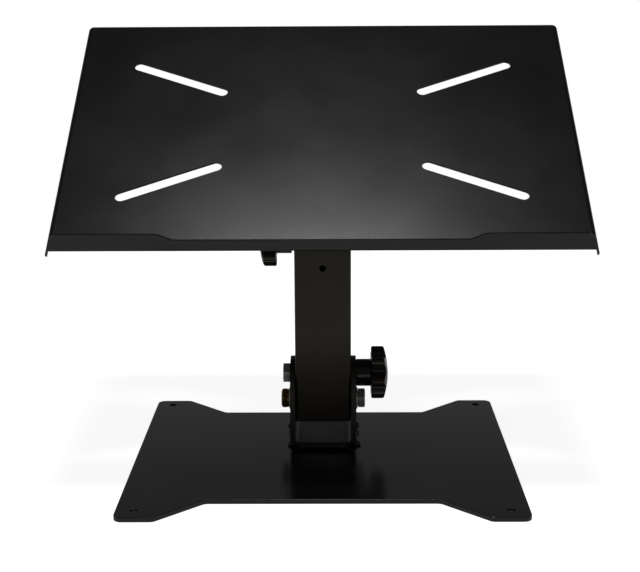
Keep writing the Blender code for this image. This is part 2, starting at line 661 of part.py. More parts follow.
def build():
    build_base_plate()
    build_base_bracket()
    build_base_welds()
    wall = INNER_HALF + BRACKET_PLATE
    ear = INNER_HALF + EAR_SHEET
    lower_pivot = empty("lower_pivot", None, (0, MAST_Y, LOWER_PIVOT_Z))
    mast_axis = empty("mast_axis", None, (0, MAST_Y, LOWER_PIVOT_Z))
    tray_axis = empty("tray_axis", mast_axis, (0, 0, PIVOT_SPAN), (TRAY_TILT, 0, 0))
    lower_clamp = (0, 0, PIVOT_TO_CLAMP)
    upper_clamp = (0, 0, PIVOT_SPAN - PIVOT_TO_CLAMP)
    lower_knob = empty("lower_knob_axis", mast_axis, lower_clamp, (LOWER_KNOB_TURN, 0, 0))
    upper_knob = empty("upper_knob_axis", mast_axis, upper_clamp, (0, math.pi, 0))
    build_mast(mast_axis)
    build_tray(tray_axis)
    build_tray_bracket(tray_axis)
    build_tray_welds(tray_axis)
    build_pivot_set("lower", lower_pivot, (0, 0, 0), wall, 1, 70 * MM, YELLOW_ZINC)
    build_pivot_set("upper", mast_axis, (0, 0, PIVOT_SPAN), ear, -1, 65 * MM, YELLOW_ZINC)
    for prefix, offset, outer, side, axis in (("lower", lower_clamp, wall, -1, lower_knob),
                                              ("upper", upper_clamp, ear, 1, upper_knob)):
        length = 2 * (outer + GAP) + BOLT_PAST_HUB_END
        build_bolt(prefix + "_clamp_bolt", mast_axis, offset, outer + GAP, length, side)
        build_knob(prefix, axis, outer + GAP)


build()
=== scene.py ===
"""The looks of the standing desk converter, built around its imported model.

Metres, +Z up, +X to the user's right, +Y away from the user. Each piece of the converter is modelled here
at full detail, where its CAD node lies in the frame, and rides on that node's body.
"""

import json
import math

import bmesh
import bpy
from mathutils import Matrix, Vector, noise

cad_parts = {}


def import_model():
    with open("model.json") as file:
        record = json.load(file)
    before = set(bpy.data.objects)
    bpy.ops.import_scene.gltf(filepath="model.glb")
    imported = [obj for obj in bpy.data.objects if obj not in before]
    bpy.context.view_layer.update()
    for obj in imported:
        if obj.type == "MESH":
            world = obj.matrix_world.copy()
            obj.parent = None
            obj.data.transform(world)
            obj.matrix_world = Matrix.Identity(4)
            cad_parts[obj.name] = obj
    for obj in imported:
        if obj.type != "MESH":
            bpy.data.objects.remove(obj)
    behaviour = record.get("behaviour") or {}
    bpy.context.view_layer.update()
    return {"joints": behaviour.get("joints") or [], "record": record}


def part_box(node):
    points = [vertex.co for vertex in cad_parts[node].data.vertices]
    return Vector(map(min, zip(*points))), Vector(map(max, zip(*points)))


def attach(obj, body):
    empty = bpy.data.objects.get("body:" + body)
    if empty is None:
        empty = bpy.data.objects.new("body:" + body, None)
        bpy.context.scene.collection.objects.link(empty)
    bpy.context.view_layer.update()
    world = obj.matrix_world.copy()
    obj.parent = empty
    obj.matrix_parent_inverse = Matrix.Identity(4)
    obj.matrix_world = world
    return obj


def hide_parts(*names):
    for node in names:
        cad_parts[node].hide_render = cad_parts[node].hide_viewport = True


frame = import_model()
RECORD = frame["record"]
JOINTS = {joint["name"]: joint for joint in frame["joints"]}
MOUNTS = {mount["name"]: mount for mount in RECORD["mounts"]}
SLOT_OF = {part["node"]: part["material_slot"] for part in RECORD["subparts"]}
BODY_OF = {node: body for body, nodes in RECORD["behaviour"]["bodies"].items() for node in nodes}

MM = 0.001
LOWER_PIVOT = Vector(JOINTS["mast_lean"]["pos_m"])
UPPER_PIVOT = Vector(JOINTS["tray_tilt"]["pos_m"])
LOWER_CLAMP = Vector(JOINTS["lower_knob_turn"]["pos_m"])
UPPER_CLAMP = Vector(JOINTS["upper_knob_turn"]["pos_m"])
CLAMP_REACH = LOWER_CLAMP.z - LOWER_PIVOT.z

# Base plate
EAR_INNER = 134 * MM
WAIST_INNER = 96 * MM
WAIST_DEPTH = 210 * MM
BASE_CORNER = 7 * MM
BASE_HOLE_IN = 15.5 * MM
BASE_HOLE_BACK = 13 * MM
BASE_HOLE_RADIUS = 3.5 * MM

# Folded plate round the mast's foot
BRACKET_PLATE = 4.5 * MM
BRACKET_BEND = 4 * MM
WALL_RIM = 1.8 * MM         # how far the walls' round tops are ground over outside
LEAN_LIMIT = math.radians(JOINTS["mast_lean"]["range_deg"][1])

# Runs of weld
WELD_RIPPLE = 1.3 * MM
WELD_LUMP_HALF = 3.6 * MM
WELD_INSET = 1 * MM         # how far a run stops short of the end of its joint

# Mast
MAST_WALL = 3 * MM
MAST_CORNER = 3 * MM
MARK_HOLE_ABOVE_PIVOT = 128 * MM
MARK_HOLE_RADIUS = 2.8 * MM
SEAM_RADIUS = 1.1 * MM
SEAM_OFFSET = 9 * MM
FOOT_SHADE_TONE = 0.3             # the colour of the painted shade at the darkest part of the foot, as a share of the coat's
FOOT_DULLNESS = 0.3         # how much rougher it is there

# Tray, described from its front edge: across u, back v, up out of the sheet n
TRAY_DEPTH = 290 * MM
TRAY_SHEET = 1.6 * MM
FLANGE_DROP = 6.2 * MM
FLANGE_RETURN = 4 * MM
RETURN_NOTCH = 9 * MM
FLANGE_BEND = 4.3 * MM
FLANGE_EDGE = 1.7 * MM
TRAY_CORNER = 5 * MM
LIP_LEAN = math.radians(10)
LIP_HALF = 219 * MM
LIP_HIGH = 17 * MM
LIP_LOW = 11 * MM
LIP_END = 12.6 * MM
LIP_BEND = 3.1 * MM
LIP_LOW_HALF = 118 * MM
LIP_HIGH_HALF = 131 * MM
LIP_CHAMFER_HALF = 211.7 * MM
LIP_END_HALF = 216.8 * MM
LIP_FOOT_HALF = 223 * MM
LIP_ROUND = 6 * MM
SLOT_U = 128.5 * MM
SLOT_V = 65.75 * MM
SLOT_SPAN = 85 * MM
SLOT_RADIUS = 5 * MM
SLOT_ANGLE = math.radians(24.8)
TRAY_TILT = math.atan2(-MOUNTS["tray_top"]["axis"][1], MOUNTS["tray_top"]["axis"][2])
TILT_RANGE = [math.radians(angle) for angle in JOINTS["tray_tilt"]["range_deg"]]
PIVOT_FRAME = Matrix.Translation(UPPER_PIVOT) @ Matrix.Rotation(TRAY_TILT, 4, "X")
TRAY_CENTRE = PIVOT_FRAME.inverted() @ Vector(MOUNTS["tray_top"]["pos_m"])
SHEET_FRAME = PIVOT_FRAME @ Matrix.Translation((0, TRAY_CENTRE.y - TRAY_DEPTH / 2, TRAY_CENTRE.z))

# Bracket under the tray, described about the upper pivot
EAR_SHEET = 2 * MM
EAR_BEND = 2 * MM
EAR_RADIUS = 34 * MM
EAR_FRONT = TRAY_CENTRE.y - TRAY_DEPTH / 2 + 75 * MM
EAR_BACK = TRAY_CENTRE.y - TRAY_DEPTH / 2 + 185 * MM
EAR_BACK_DROP = 14 * MM

# M10 fasteners
SHANK_RADIUS = 5 * MM
BORE_RADIUS = 5.3 * MM
THREAD_PITCH = 1.5 * MM
THREAD_DEPTH = 0.7 * MM
HEX_FLAT = 8.5 * MM
HEX_CORNER = 9.66 * MM      # the corners are slightly worn, so this is under HEX_FULL
HEX_FULL = HEX_FLAT / math.cos(math.pi / 6)
HEX_CHAMFER = math.tan(math.radians(30))
HEX_TURN = math.radians(13)
HEAD_HEIGHT = 6.5 * MM
THREAD_LENGTH = 26 * MM
HEX_ANGLES = [HEX_TURN + math.radians(60 * side + step) for side in range(6)
              for step in (-20, -10, 0, 10, 20, 28, 30, 32)]

# Star knob, measured along its axis from the hub's end
KNOB_LOBES = 7
KNOB_MEAN = 20.5 * MM
KNOB_LOBE = 3.8 * MM
LOBE_FULLNESS = 0.85        # under 1, the lobes are broader than the valleys
LOWER_KNOB_TURN = math.radians(-7)
KNOB_EDGE = 1.5 * MM
HUB_RADIUS = 12.4 * MM
HUB_LENGTH = 13.5 * MM
KNOB_RIM = 11.4 * MM

# Which way each outline's own x, y and thickness go
ALONG_X = Matrix(((0, 0, 1, 0), (1, 0, 0, 0), (0, 1, 0, 0), (0, 0, 0, 1)))
ALONG_Y = Matrix.Rotation(math.radians(90), 4, "X")
ALONG_Z = Matrix.Identity(4)


# ---------------------------------------------------------------- outlines

def arc(centre, radius, start, end, steps):
    return [(centre[0] + radius * math.cos(start + (end - start) * i / steps),
             centre[1] + radius * math.sin(start + (end - start) * i / steps)) for i in range(steps + 1)]


def rounded(corners, steps=8):
    """A path through (x, y, radius) corners, each one a true arc where it has a radius."""
    points = []
    for i, (x, y, radius) in enumerate(corners):
        here = Vector((x, y))
        if radius == 0:
            points.append((x, y))
            continue
        before = (Vector(corners[i - 1][:2]) - here).normalized()
        after = (Vector(corners[(i + 1) % len(corners)][:2]) - here).normalized()
        half = before.angle(after) / 2
        centre = here + (before + after).normalized() * (radius / math.sin(half))
        first = here + before * (radius / math.tan(half)) - centre
        last = here + after * (radius / math.tan(half)) - centre
        start = math.atan2(first.y, first.x)
        sweep = math.remainder(math.atan2(last.y, last.x) - start, 2 * math.pi)
        points += arc(centre, radius, start, start + sweep, steps)
    return points


def round_slot(span, radius):
    right = arc((span / 2, 0), radius, -math.pi / 2, math.pi / 2, 20)
    return right + [(-x, -y) for x, y in right]


def arc_slot(bend, radius, start, end):
    """A slot of constant width bent about the outline's origin, with round ends."""
    outer = arc((0, 0), bend + radius, start, end, 32)
    inner = arc((0, 0), bend - radius, end, start, 32)
    last = (bend * math.cos(end), bend * math.sin(end))
    first = (bend * math.cos(start), bend * math.sin(start))
    return (outer + arc(last, radius, end, end + math.pi, 14)[1:-1]
            + inner + arc(first, radius, start + math.pi, start + 2 * math.pi, 14)[1:-1])


# ---------------------------------------------------------------- meshes

def to_mesh(name, shape):
    bmesh.ops.recalc_face_normals(shape, faces=shape.faces)
    mesh = bpy.data.meshes.new(name)
    shape.to_mesh(mesh)
    shape.free()
    return mesh


def prism(name, outline, thickness, direction=ALONG_Z):
    """An outline thickened evenly both ways, its two caps each one flat face."""
    shape = bmesh.new()
    cap = shape.faces.new([shape.verts.new((x, y, -thickness / 2)) for x, y in outline])
    raised = bmesh.ops.extrude_face_region(shape, geom=[cap])["geom"]
    moved = [item for item in raised if isinstance(item, bmesh.types.BMVert)]
    bmesh.ops.translate(shape, verts=moved, vec=(0, 0, thickness))
    shape.transform(direction)
    return to_mesh(name, shape)


def block(name, low, high, bevels=()):
    """A box between two corners. Each bevel is (which edges, radius, segments), in turn."""
    shape = bmesh.new()
    size = Vector(high) - Vector(low)
    place = Matrix.Translation((Vector(high) + Vector(low)) / 2) @ Matrix.Diagonal((*size, 1))
    bmesh.ops.create_cube(shape, size=1, matrix=place)
    for wanted, radius, segments in bevels:
        edges = [edge for edge in shape.edges if wanted(*(vert.co for vert in edge.verts))]
        bmesh.ops.bevel(shape, geom=edges, offset=radius, segments=segments, profile=0.5,
                        affect="EDGES", clamp_overlap=False)
    return to_mesh(name, shape)


def rod(name, radius, start, end, direction=ALONG_X, steps=48):
    shape = bmesh.new()
    middle = Matrix.Translation((0, 0, (start + end) / 2))
    bmesh.ops.create_cone(shape, cap_ends=True, segments=steps, radius1=radius, radius2=radius,
                          depth=abs(end - start), matrix=direction @ middle)
    return to_mesh(name, shape)


def moved(mesh, *matrices):
    for matrix in matrices:
        mesh.transform(matrix)
    return mesh


def at(x, y, z):
    return Matrix.Translation((x, y, z))


def loft(name, rings, closed=False):
    """Faces between successive rings of points; a ring of one point is a pole."""
    shape = bmesh.new()
    rows = [[shape.verts.new(point) for point in ring] for ring in rings]
    if closed:
        rows.append(rows[0])
    for near, far in zip(rows, rows[1:]):
        for i in range(max(len(near), len(far))):
            corners = (near[i % len(near)], near[(i + 1) % len(near)],
                       far[(i + 1) % len(far)], far[i % len(far)])
            shape.faces.new(dict.fromkeys(corners))
    return to_mesh(name, shape)


def ring(along, radius, angles):
    """Points round the X axis. radius is a length, or a function of the angle from +Y towards +Z."""
    reach = radius if callable(radius) else lambda angle: radius
    return [(along, reach(angle) * math.cos(angle), reach(angle) * math.sin(angle)) for angle in angles]


def carved(mesh, *steps):
    """The mesh after exact booleans with (operation, other mesh), in order."""
    collection = bpy.context.scene.collection
    target = bpy.data.objects.new("carved", mesh)
    collection.objects.link(target)
    helpers = []
    for operation, other in steps:
        helper = bpy.data.objects.new("helper", other)
        collection.objects.link(helper)
        helpers.append(helper)
        change = target.modifiers.new(operation, "BOOLEAN")
        change.operation = operation
        change.solver = "EXACT"
        change.object = helper
    bpy.context.view_layer.update()
    graph = bpy.context.evaluated_depsgraph_get()
    result = bpy.data.meshes.new_from_object(target.evaluated_get(graph))
    for old in (target, *helpers):
        data = old.data
        bpy.data.objects.remove(old, do_unlink=True)
        bpy.data.meshes.remove(data)
    return result


def softened(mesh, width, segments=2, limit=math.radians(28)):
    """Rounds every edge sharper than the limit, as a coat of powder does."""
    shape = bmesh.new()
    shape.from_mesh(mesh)
    bmesh.ops.remove_doubles(shape, verts=shape.verts, dist=2e-6)
    bmesh.ops.dissolve_limit(shape, angle_limit=math.radians(0.4), use_dissolve_boundaries=False,
                             verts=shape.verts, edges=shape.edges, delimit=set())
    bmesh.ops.recalc_face_normals(shape, faces=shape.faces)
    edges = [edge for edge in shape.edges if edge.is_manifold and edge.calc_face_angle() > limit]
    bmesh.ops.bevel(shape, geom=edges, offset=width, segments=segments, profile=0.5, affect="EDGES",
                    clamp_overlap=True)
    shape.to_mesh(mesh)
    shape.free()
    return mesh


# ---------------------------------------------------------------- materials

def new_material(name):
    """(material, its nodes, its links, its Principled shader)"""
    material = bpy.data.materials.new(name)
    material.use_nodes = True
    tree = material.node_tree
    return material, tree.nodes, tree.links, tree.nodes["Principled BSDF"]


def noise_node(nodes, links, scale, detail=2.0, stretch=(1, 1, 1)):
    """Noise in the object's own space; scale is in features per metre."""
    place = nodes.new("ShaderNodeTexCoord")
    mapping = nodes.new("ShaderNodeMapping")
    mapping.inputs["Scale"].default_value = stretch
    texture = nodes.new("ShaderNodeTexNoise")
    texture.inputs["Scale"].default_value = scale
    texture.inputs["Detail"].default_value = detail
    links.new(place.outputs["Object"], mapping.inputs["Vector"])
    links.new(mapping.outputs["Vector"], texture.inputs["Vector"])
    return texture.outputs["Fac"]


def spread(nodes, links, value, low, high, start=0.3, end=0.7):
    """The value spread out to run from low to high as it goes from start to end."""
    remap = nodes.new("ShaderNodeMapRange")
    remap.inputs["From Min"].default_value = start
    remap.inputs["From Max"].default_value = end
    remap.inputs["To Min"].default_value = low
    remap.inputs["To Max"].default_value = high
    links.new(value, remap.inputs["Value"])
    return remap.outputs["Result"]


def colours(nodes, links, value, *stops):
    """A colour ramp through (position, (r, g, b)) stops."""
    ramp = nodes.new("ShaderNodeValToRGB")
    for extra in stops[2:]:
        ramp.color_ramp.elements.new(extra[0])
    for element, (position, colour) in zip(ramp.color_ramp.elements, sorted(stops)):
        element.position = position
        element.color = (*colour, 1)
    links.new(value, ramp.inputs["Fac"])
    return ramp.outputs["Color"]


def mixed(nodes, links, factor, low, high):
    """low where the factor is 0, high where it is 1; both are colours or outputs."""
    mix = nodes.new("ShaderNodeMix")
    mix.data_type = "RGBA"
    links.new(factor, mix.inputs["Factor"])
    for name, value in (("A", low), ("B", high)):
        socket = next(item for item in mix.inputs if item.name == name and item.type == "RGBA")
        if isinstance(value, tuple):
            socket.default_value = (*value, 1)
        else:
            links.new(value, socket)
    return next(item for item in mix.outputs if item.type == "RGBA")


def bumps(nodes, links, shader, *layers):
    """Height layers (value, depth in metres) stacked on the shader's normal."""
    normal = None
    for value, depth in layers:
        bump = nodes.new("ShaderNodeBump")
        bump.inputs["Strength"].default_value = 1.0
        bump.inputs["Distance"].default_value = depth
        links.new(value, bump.inputs["Height"])
        if normal:
            links.new(normal, bump.inputs["Normal"])
        normal = bump.outputs["Normal"]
    links.new(normal, shader.inputs["Normal"])


def powder_coat(name, dark, light, roughness, level, peel=6e-6, painted_foot_shade=None, tint=(1, 1, 1)):
    """Baked powder: a slow drift in colour and gloss, orange peel about 1 mm across, and fine specks.

    The two heights for the foot set a painted shade there: the coat is darkest and dullest below the first,
    and has its full tone above the second. tint is the colour of its gloss.
    """
    material, nodes, links, shader = new_material(name)
    drift = noise_node(nodes, links, 14, 3)
    speck = noise_node(nodes, links, 2600, 1)
    orange_peel = noise_node(nodes, links, 700, 2)
    shader.inputs["Specular IOR Level"].default_value = level
    shader.inputs["Specular Tint"].default_value = (*tint, 1)
    tone = colours(nodes, links, drift, (0.3, dark), (0.7, light))
    dullness = spread(nodes, links, drift, *roughness)
    # painted shade: the coat's colour darkens and its gloss dulls towards the mast's foot, standing in for
    # the shade that falls there
    if painted_foot_shade:
        place = nodes.new("ShaderNodeTexCoord")
        split = nodes.new("ShaderNodeSeparateXYZ")
        links.new(place.outputs["Object"], split.inputs["Vector"])
        tone = mixed(nodes, links, spread(nodes, links, split.outputs["Z"], 0, 1, *painted_foot_shade),
                     tuple(FOOT_SHADE_TONE * value for value in dark), tone)
        added = nodes.new("ShaderNodeMath")
        added.operation = "ADD"
        links.new(dullness, added.inputs[0])
        links.new(spread(nodes, links, split.outputs["Z"], FOOT_DULLNESS, 0, *painted_foot_shade), added.inputs[1])
        dullness = added.outputs["Value"]
    links.new(tone, shader.inputs["Base Color"])
    links.new(dullness, shader.inputs["Roughness"])
    bumps(nodes, links, shader, (orange_peel, peel), (speck, 0.6e-6))
    return material


def moulded_plastic(name):
    """Glossy nylon with faint flow marks and the fine haze of a polished mould."""
    material, nodes, links, shader = new_material(name)
    flow = noise_node(nodes, links, 60, 4, (1, 3, 3))
    haze = noise_node(nodes, links, 1500, 2)
    links.new(colours(nodes, links, flow, (0.3, (0.019, 0.0160, 0.0142)), (0.7, (0.026, 0.0220, 0.0195))),
              shader.inputs["Base Color"])
    links.new(spread(nodes, links, haze, 0.12, 0.20), shader.inputs["Roughness"])
    shader.inputs["Specular IOR Level"].default_value = 0.42
    bumps(nodes, links, shader, (flow, 12e-6), (haze, 1e-6))
    return material


def plated(name, low, high, roughness, grain=(14, 1, 1)):
    """Plated steel: uneven tone, drawn marks along the grain, and a fine crystalline sparkle."""
    material, nodes, links, shader = new_material(name)
    tone = noise_node(nodes, links, 180, 4)
    marks = noise_node(nodes, links, 240, 3, grain)
    crystal = noise_node(nodes, links, 3200, 1)
    links.new(colours(nodes, links, tone, (0.32, low), (0.68, high)), shader.inputs["Base Color"])
    links.new(spread(nodes, links, marks, *roughness), shader.inputs["Roughness"])
    shader.inputs["Metallic"].default_value = 1.0
    bumps(nodes, links, shader, (marks, 8e-6), (crystal, 1e-6))
    return material


FINISHES = {
    "base_coat": powder_coat("base_coat", (0.0050, 0.0047, 0.0046), (0.0064, 0.0060, 0.0058),
                             (0.15, 0.21), 0.46, peel=2.5e-6),
    "bracket_coat": powder_coat("bracket_coat", (0.021, 0.0174, 0.015), (0.027, 0.0224, 0.0194),
                                (0.46, 0.58), 0.5),
    "weld_coat": powder_coat("weld_coat", (0.024, 0.0200, 0.0172), (0.032, 0.0268, 0.023),
                             (0.38, 0.52), 0.5, peel=14e-6),
    # the mast's coat carries painted shade at its foot, darker and duller below 110 mm
    "mast_coat": powder_coat("mast_coat", (0.0072, 0.0058, 0.0036), (0.0088, 0.0071, 0.0045),
                             (0.34, 0.42), 0.54, painted_foot_shade=(35 * MM, 110 * MM),
                             tint=(1.0, 0.92, 0.78)),
    "tray_coat": powder_coat("tray_coat", (0.0056, 0.0056, 0.0056), (0.0066, 0.0066, 0.0068),
                             (0.25, 0.29), 0.46, peel=4e-6),
    "knob_plastic": moulded_plastic("knob_plastic"),
    "insert_brass": plated("insert_brass", (0.50, 0.34, 0.10), (0.70, 0.52, 0.20), (0.24, 0.40)),
    "zinc": plated("zinc", (0.68, 0.69, 0.66), (0.86, 0.87, 0.83), (0.42, 0.58)),
    "yellow_zinc": plated("yellow_zinc", (0.17, 0.11, 0.036), (0.36, 0.25, 0.08), (0.36, 0.52)),
}


# ---------------------------------------------------------------- pieces

def show(node, mesh):
    """The finished piece that stands for one CAD node, in that node's finish and on its body."""
    piece = bpy.data.objects.new(node + "_visual", mesh)
    bpy.context.scene.collection.objects.link(piece)
    mesh.name = piece.name
    mesh.materials.clear()
    mesh.materials.append(FINISHES[SLOT_OF[node]])
    mesh.shade_smooth()
    mesh.set_sharp_from_angle(angle=math.radians(40))
    normals = piece.modifiers.new("face normals", "WEIGHTED_NORMAL")
    normals.keep_sharp = True
    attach(piece, BODY_OF[node])
    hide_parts(node)
    return piece


# Base

def base_plate():
    """Four ears with holes; the waists between them are chamfered back at front and rear."""
    low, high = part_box("base_plate")
    x, y = high.x, high.y
    quarter = [(x, y, BASE_CORNER), (EAR_INNER, y, BASE_CORNER), (WAIST_INNER, WAIST_DEPTH / 2, BASE_CORNER)]
    left_back = [(-a, b, r) for a, b, r in reversed(quarter)]
    left_front = [(-a, -b, r) for a, b, r in quarter]
    right_front = [(a, -b, r) for a, b, r in reversed(quarter)]
    outline = rounded(quarter + left_back + left_front + right_front, 14)
    thickness = high.z - low.z
    plate = moved(prism("base_plate", outline, thickness), at(0, 0, thickness / 2))
    holes = [("DIFFERENCE", moved(rod("hole", BASE_HOLE_RADIUS, -thickness, 2 * thickness, ALONG_Z),
                                  at(side * (x - BASE_HOLE_IN), end * (y - BASE_HOLE_BACK), 0)))
             for side in (1, -1) for end in (1, -1)]
    show("base_plate", softened(carved(plate, *holes), 0.5 * MM, 3))


def channel(inner, plate, height, bend):
    """A U seen along its length, its web's outer face at y = 0 and its walls going up."""
    outer = inner + plate
    return rounded([(outer, 0, bend + plate), (outer, height, 0), (inner, height, 0),
                    (inner, plate, bend), (-inner, plate, bend),
                    (-inner, height, 0), (-outer, height, 0), (-outer, 0, bend + plate)], 12)


def worn_rim(mesh, radius, above):
    """Rounds the rim of a prism's two caps, apart from what lies below a height."""
    shape = bmesh.new()
    shape.from_mesh(mesh)
    edges = [edge for edge in shape.edges if edge.calc_face_angle() > math.radians(80)
             and abs(edge.verts[0].co.x - edge.verts[1].co.x) < 1e-6
             and min(vert.co.z for vert in edge.verts) > above]
    bmesh.ops.bevel(shape, geom=edges, offset=radius, segments=5, profile=0.5, affect="EDGES",
                    clamp_overlap=True)
    shape.to_mesh(mesh)
    shape.free()
    return mesh


def base_bracket():
    """A bent U, its walls rounded at the top, drilled for the pivot and slotted for the clamp."""
    low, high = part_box("base_bracket")
    depth = high.y - low.y
    middle = (low.y + high.y) / 2
    section = channel(high.x - BRACKET_PLATE, BRACKET_PLATE, high.z - low.z + MM, BRACKET_BEND)
    folded = moved(prism("base_bracket", section, depth + 2 * MM, ALONG_Y), at(0, middle, low.z))
    top = high.z - depth / 2
    side = [(-depth / 2, 0), (depth / 2, 0)] + arc((0, top), depth / 2, 0, math.pi, 60)
    wide = 4 * high.x
    walls = moved(prism("side", side, 2 * high.x + 0.02 * MM, ALONG_X), at(0, middle, 0))
    reach = LEAN_LIMIT + math.radians(1)
    slot = arc_slot(CLAMP_REACH, BORE_RADIUS, math.pi / 2 - reach, math.pi / 2 + reach)
    pivot = at(*LOWER_PIVOT)
    bracket = carved(folded, ("INTERSECT", worn_rim(walls, WALL_RIM, top)),
                     ("DIFFERENCE", moved(rod("hole", BORE_RADIUS, -wide, wide), pivot)),
                     ("DIFFERENCE", moved(prism("slot", slot, wide, ALONG_X), pivot)))
    show("base_bracket", softened(bracket, 0.45 * MM))


def swell(distance, half):
    """1 at a lump's middle, falling smoothly to 0 at half its length."""
    return max(0.0, math.cos(math.pi / 2 * min(1.0, distance / half))) ** 1.5


def weld_bead(node, start, end, out, lumps, neck, lump, seed):
    """A run of weld from start to end, through lumps given as (distance along, share of full size).

    neck and lump are its (reach out, height) between the lumps and at a full one.
    """
    start, end = Vector(start), Vector(end)
    out, up = Vector(out), Vector(out).cross(end - start).normalized()
    if up.dot(Vector((0, 0, 1))) < 0:
        up.negate()
    length = (end - start).length
    count = round(length / (WELD_RIPPLE / 5))
    rings = [[start]]
    for i in range(1, count):
        along = length * i / count
        full = max(share * swell(abs(along - place), WELD_LUMP_HALF) for place, share in lumps)
        taper = math.sqrt(min(1.0, min(along, length - along) / (1.6 * MM)))
        row = []
        for k in range(20):
            angle = 2 * math.pi * k / 20
            wave = abs(math.sin(math.pi * (along + 0.5 * MM * math.cos(angle)) / WELD_RIPPLE))
            rough = noise.noise(Vector((seed, along / MM * 0.55, math.cos(angle) * 1.3 + math.sin(angle))))
            size = taper * (0.90 + 0.13 * wave + 0.22 * rough)
            reach = size * (neck[0] + (lump[0] - neck[0]) * full)
            height = size * (neck[1] + (lump[1] - neck[1]) * full)
            squeeze = abs(math.cos(angle)) ** 1.3 + abs(math.sin(angle)) ** 1.3
            row.append(start.lerp(end, along / length) + out * (reach * math.cos(angle) / squeeze ** 0.8)
                       + up * (height * math.sin(angle) / squeeze ** 0.8))
        rings.append(row)
    rings.append([end])
    show(node, loft(node, rings))


def base_welds():
    """A run along each foot of the bracket, and one across the web at its front and rear."""
    low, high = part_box("base_bracket")
    plate_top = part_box("base_plate")[1].z
    x = high.x - 0.8 * MM
    z = plate_top + 1.3 * MM
    for side, name, shares in ((-1, "left", (0.55, 0.4, 1.0)), (1, "right", (0.95, 0.75, 0.9))):
        lumps = list(zip((6 * MM, 36.3 * MM, 56 * MM), shares))
        weld_bead("base_weld_" + name, (side * x, low.y + WELD_INSET, z),
                  (side * x, high.y - WELD_INSET, z),
                  (side, 0, 0), lumps, (2.0 * MM, 1.9 * MM), (5.0 * MM, 2.9 * MM), 11 + side)
    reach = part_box("base_weld_front")[1].x
    lumps = [(place, 1) for place in (4 * MM, 15 * MM, 26 * MM, 38 * MM)]
    for side, name, y in ((-1, "front", low.y), (1, "rear", high.y)):
        weld_bead("base_weld_" + name, (-reach, y, z), (reach, y, z), (0, side, 0),
                  lumps, (2.2 * MM, 2.6 * MM), (3.2 * MM, 3.6 * MM), 31 + side)


# Mast

def mast():
    """Square tube with its welded seam inside, cross-drilled at each end, with one small hole in front."""
    low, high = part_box("mast_tube")
    half = high.x
    centre_y = (low.y + high.y) / 2
    edge = 0.4 * MM

    def square(inset, z):
        radius = MAST_CORNER if inset < MAST_WALL / 2 else MAST_CORNER / 3
        side = half - inset
        corners = [(side, side, radius), (-side, side, radius), (-side, -side, radius), (side, -side, radius)]
        return [(x, centre_y + y, z) for x, y in rounded(corners, 8)]

    rings = [square(edge, low.z), square(0, low.z + edge), square(0, high.z - edge), square(edge, high.z),
             square(MAST_WALL - edge, high.z), square(MAST_WALL, high.z - edge),
             square(MAST_WALL, low.z + edge), square(MAST_WALL - edge, low.z)]
    tube = loft("mast_tube", rings, closed=True)
    cross = [("DIFFERENCE", moved(rod("hole", BORE_RADIUS, -2 * half, 2 * half), at(0, centre_y, height)))
             for height in (LOWER_PIVOT.z, LOWER_CLAMP.z, UPPER_CLAMP.z, UPPER_PIVOT.z)]
    small = moved(rod("hole", MARK_HOLE_RADIUS, half / 2, 2 * half, ALONG_Y),
                  at(0, centre_y, LOWER_PIVOT.z + MARK_HOLE_ABOVE_PIVOT))
    seam = moved(rod("seam", SEAM_RADIUS, low.z + MM, high.z - MM, ALONG_Z, 16),
                 at(SEAM_OFFSET, high.y - MAST_WALL, 0))
    show("mast_tube", softened(carved(tube, ("UNION", seam), *cross, ("DIFFERENCE", small)), 0.3 * MM))


# Tray and its bracket

def on_sides_and_back(level, depth):
    """Picks the edges of a box at one height, apart from those on its open front."""
    def wanted(a, b):
        flat = abs(a.z - level) < 1e-6 and abs(b.z - level) < 1e-6
        return flat and not (a.y < depth / 4 and b.y < depth / 4)
    return wanted


def upright_at_back(depth):
    def wanted(a, b):
        return a.y > depth / 2 and b.y > depth / 2 and abs(a.z - b.z) > 1e-6 and abs(a.x - b.x) < 1e-6
    return wanted


def lip():
    """The stop along the front edge: leaning back over the sheet, its top cut low in the middle."""
    centre = Vector((LIP_BEND, LIP_BEND - TRAY_SHEET))
    outside = arc(centre, LIP_BEND, -math.pi / 2, -math.pi - LIP_LEAN, 12)
    inside = arc(centre, LIP_BEND - TRAY_SHEET, -math.pi - LIP_LEAN, -math.pi / 2, 12)
    rise = Vector((math.sin(LIP_LEAN), math.cos(LIP_LEAN))) * (LIP_HIGH + LIP_BEND)
    tops = [tuple(Vector(foot) + rise) for foot in (outside[-1], inside[0])]
    leg = 2 * LIP_BEND
    section = [(leg, -TRAY_SHEET)] + outside + tops + inside + [(leg, 0)]
    right = [(LIP_LOW_HALF, LIP_LOW, LIP_ROUND), (LIP_HIGH_HALF, LIP_HIGH, LIP_ROUND),
             (LIP_CHAMFER_HALF, LIP_HIGH, LIP_ROUND / 2), (LIP_END_HALF, LIP_END, LIP_ROUND / 2)]
    left = [(-u, n, r) for u, n, r in reversed(right)]
    foot = [(-LIP_FOOT_HALF, -FLANGE_DROP, 0), (LIP_FOOT_HALF, -FLANGE_DROP, 0)]
    top = prism("lip_top", rounded([*reversed(right), *reversed(left), *foot]), 8 * LIP_BEND, ALONG_Y)
    return carved(prism("lip", section, 2 * LIP_HALF, ALONG_X),
                  ("INTERSECT", moved(top, Matrix.Rotation(-LIP_LEAN, 4, "X"))))


